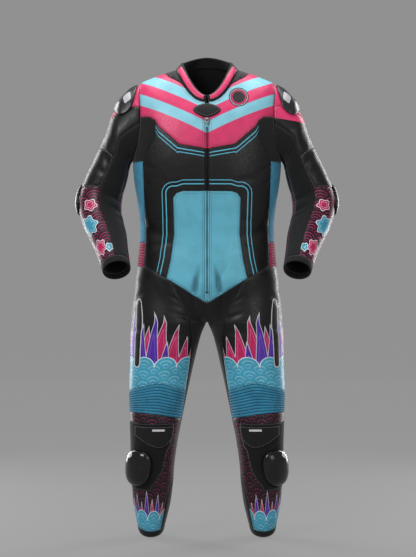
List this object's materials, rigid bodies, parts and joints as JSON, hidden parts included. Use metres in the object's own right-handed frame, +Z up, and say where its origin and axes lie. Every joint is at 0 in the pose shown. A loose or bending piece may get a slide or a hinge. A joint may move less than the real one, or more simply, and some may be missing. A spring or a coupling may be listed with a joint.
{
  "type": "motorcycle race suit",
  "caption": "One-piece leather race suit in its worn shape, with stand collar, front zip, ribbed knees and waist, shoulder cups, elbow and knee sliders.",
  "frame": {"origin": "middle of the neck base, level with the shoulder points that carry the suit", "axes": "+X to the wearer's left, -Y to the wearer's front, +Z up along the body"},
  "size_m": [0.7778, 0.3168, 1.4245],
  "materials": {
    "black_leather": "semi-gloss, perforated on the chest and legs",
    "black_stretch": "matte woven stretch",
    "pink_leather": "semi-gloss",
    "pink_stretch": "ribbed",
    "blue_leather": "semi-gloss, perforated",
    "blue_ribbed": "ribbed",
    "blue_mesh": "open mesh texture",
    "grey_stretch": "matte",
    "printed_leather": "semi-gloss print",
    "hard_plastic": "gloss",
    "zip_tape": "woven tape with moulded teeth",
    "zip_metal": "bright metal"
  },
  "bodies": {
    "suit": {"chest_yoke_left": "pink_leather", "chest_yoke_right": "pink_leather", "armhole_stretch_left": "black_stretch", "armhole_stretch_right": "black_stretch", "front_body_left": "black_leather", "front_body_right": "black_leather", "belly_left": "blue_leather", "belly_right": "blue_leather", "side_panel_left": "blue_mesh", "side_panel_right": "blue_mesh", "upper_back": "black_leather", "waist_stretch": "pink_stretch", "seat_left": "black_leather", "seat_right": "black_leather", "thigh_front_left": "printed_leather", "thigh_front_right": "printed_leather", "thigh_inner_left": "black_stretch", "thigh_inner_right": "black_stretch", "thigh_back_left": "black_leather", "thigh_back_right": "black_leather", "knee_accordion_left": "blue_ribbed", "knee_accordion_right": "blue_ribbed", "shin_left": "printed_leather", "shin_right": "printed_leather", "calf_left": "black_stretch", "calf_right": "black_stretch", "ankle_cuff_left": "black_stretch", "ankle_cuff_right": "black_stretch", "knee_panel_left": "black_stretch", "knee_panel_right": "black_stretch", "knee_slider_left": "hard_plastic", "knee_slider_right": "hard_plastic", "knee_tab_left": "black_stretch", "knee_tab_right": "black_stretch", "collar": "black_stretch", "collar_inlay_left": "pink_leather", "collar_inlay_right": "pink_leather", "neck_gusset_left": "grey_stretch", "neck_gusset_right": "grey_stretch", "shoulder_panel_left": "pink_leather", "shoulder_panel_right": "pink_leather", "sleeve_upper_left": "black_leather", "sleeve_upper_right": "black_leather", "sleeve_middle_left": "black_leather", "sleeve_middle_right": "black_leather", "forearm_left": "printed_leather", "forearm_right": "printed_leather", "sleeve_inner_left": "black_stretch", "sleeve_inner_right": "black_stretch", "cuff_left": "black_stretch", "cuff_right": "black_stretch", "shoulder_cup_left": "hard_plastic", "shoulder_cup_right": "hard_plastic", "elbow_slider_left": "hard_plastic", "elbow_slider_right": "hard_plastic", "zip": "zip_tape", "zip_garage": "grey_stretch", "zip_slider": "zip_metal"},
    "pull": {"zip_pull": "zip_metal"}
  },
  "joints": [
    {"name": "zip_pull_swing", "type": "hinge", "parent": "suit", "child": "pull", "pos_m": [0, -0.13877, -0.15196], "axis": [-1, 0, 0], "range_deg": [0, 140]}
  ]
}
